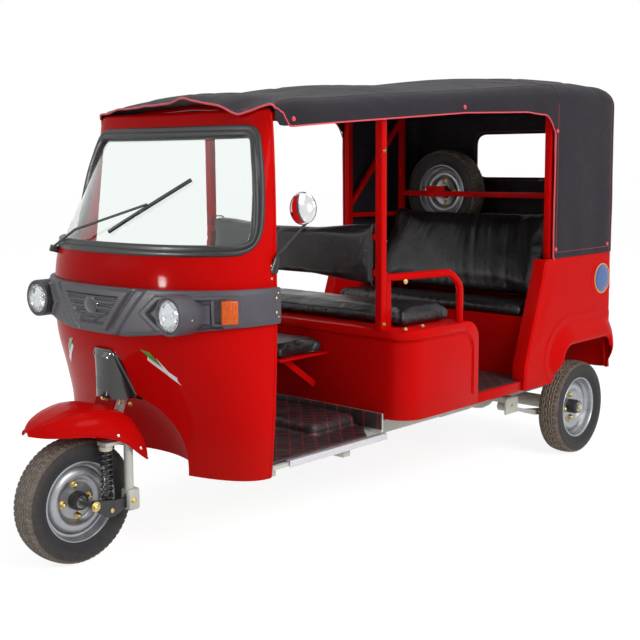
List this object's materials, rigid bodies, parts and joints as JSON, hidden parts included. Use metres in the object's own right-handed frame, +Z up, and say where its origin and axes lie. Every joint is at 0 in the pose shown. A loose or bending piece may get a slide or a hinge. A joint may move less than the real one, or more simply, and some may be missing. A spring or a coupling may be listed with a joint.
{
  "type": "electric passenger rickshaw",
  "caption": "Open-sided three-wheeled electric rickshaw with a red cab and rear body, facing passenger benches, a black canvas canopy and a spare wheel.",
  "frame": {"origin": "on the floor under the middle of the bounding box", "axes": "-Y forward, +X the vehicle's left side, +Z up"},
  "size_m": [1.22, 2.79, 1.668],
  "materials": {
    "red_paint": "glossy red paint",
    "frame_paint": "pale grey paint",
    "black_canvas": "woven black canvas",
    "black_leather": "black leatherette",
    "bar_plastic": "dark grey moulded plastic",
    "black_plastic": "black plastic",
    "black_steel": "black paint",
    "chrome_plate": "bright chrome",
    "screen_glass": "clear glass",
    "black_rubber": "black rubber",
    "clear_lens": "clear lens over a bright bowl",
    "amber_lens": "amber lens",
    "red_lens": "red lens",
    "battery_case": "dark grey case",
    "tyre_rubber": "black tyre rubber",
    "rim_silver": "silver paint"
  },
  "bodies": {
    "vehicle": {"cab_shell": "red_paint", "windscreen_glass": "screen_glass", "windscreen_rubber": "black_rubber", "wiper": "black_steel", "lamp_bar": "bar_plastic", "headlamp_left": "clear_lens", "headlamp_right": "clear_lens", "turn_signal_left": "amber_lens", "turn_signal_right": "amber_lens", "steering_cover": "black_plastic", "dash_panel": "bar_plastic", "mirror_left": "chrome_plate", "front_floor": "frame_paint", "front_mat": "black_leather", "seat_box": "red_paint", "battery_block": "battery_case", "driver_cushion": "black_leather", "driver_seat_plate": "red_paint", "middle_cushion": "black_leather", "middle_backrest": "black_leather", "handrail_left": "red_paint", "handrail_right": "red_paint", "roof_frame": "red_paint", "canopy": "black_canvas", "rear_body": "red_paint", "rear_floor": "red_paint", "rear_mat": "black_leather", "rear_cushion": "black_leather", "rear_backrest": "black_leather", "chassis_frame": "frame_paint", "rear_axle": "black_steel", "rear_bumper": "black_plastic", "tail_lamp_left": "red_lens", "tail_lamp_right": "red_lens", "spare_tyre": "tyre_rubber", "spare_rim": "rim_silver"},
    "steering": {"front_fork": "frame_paint", "swing_arms": "black_steel", "shock_left": "black_steel", "shock_right": "black_steel", "front_mudguard": "red_paint", "handlebar": "black_steel"},
    "front_wheel": {"front_tyre": "tyre_rubber", "front_rim": "rim_silver"},
    "rear_wheel_left": {"rear_tyre_left": "tyre_rubber", "rear_rim_left": "rim_silver"},
    "rear_wheel_right": {"rear_tyre_right": "tyre_rubber", "rear_rim_right": "rim_silver"}
  },
  "joints": [
    {"name": "steering", "type": "hinge", "parent": "vehicle", "child": "steering", "pos_m": [0, -0.99, 0.5], "axis": [0, 0.3746, 0.9272], "range_deg": [-40, 40]},
    {"name": "front_wheel_spin", "type": "hinge", "parent": "steering", "child": "front_wheel", "pos_m": [0, -1.19, 0.205], "axis": [1, 0, 0], "continuous": true},
    {"name": "rear_wheel_left_spin", "type": "hinge", "parent": "vehicle", "child": "rear_wheel_left", "pos_m": [0.499, 1.1, 0.205], "axis": [1, 0, 0], "continuous": true},
    {"name": "rear_wheel_right_spin", "type": "hinge", "parent": "vehicle", "child": "rear_wheel_right", "pos_m": [-0.499, 1.1, 0.205], "axis": [1, 0, 0], "continuous": true}
  ]
}
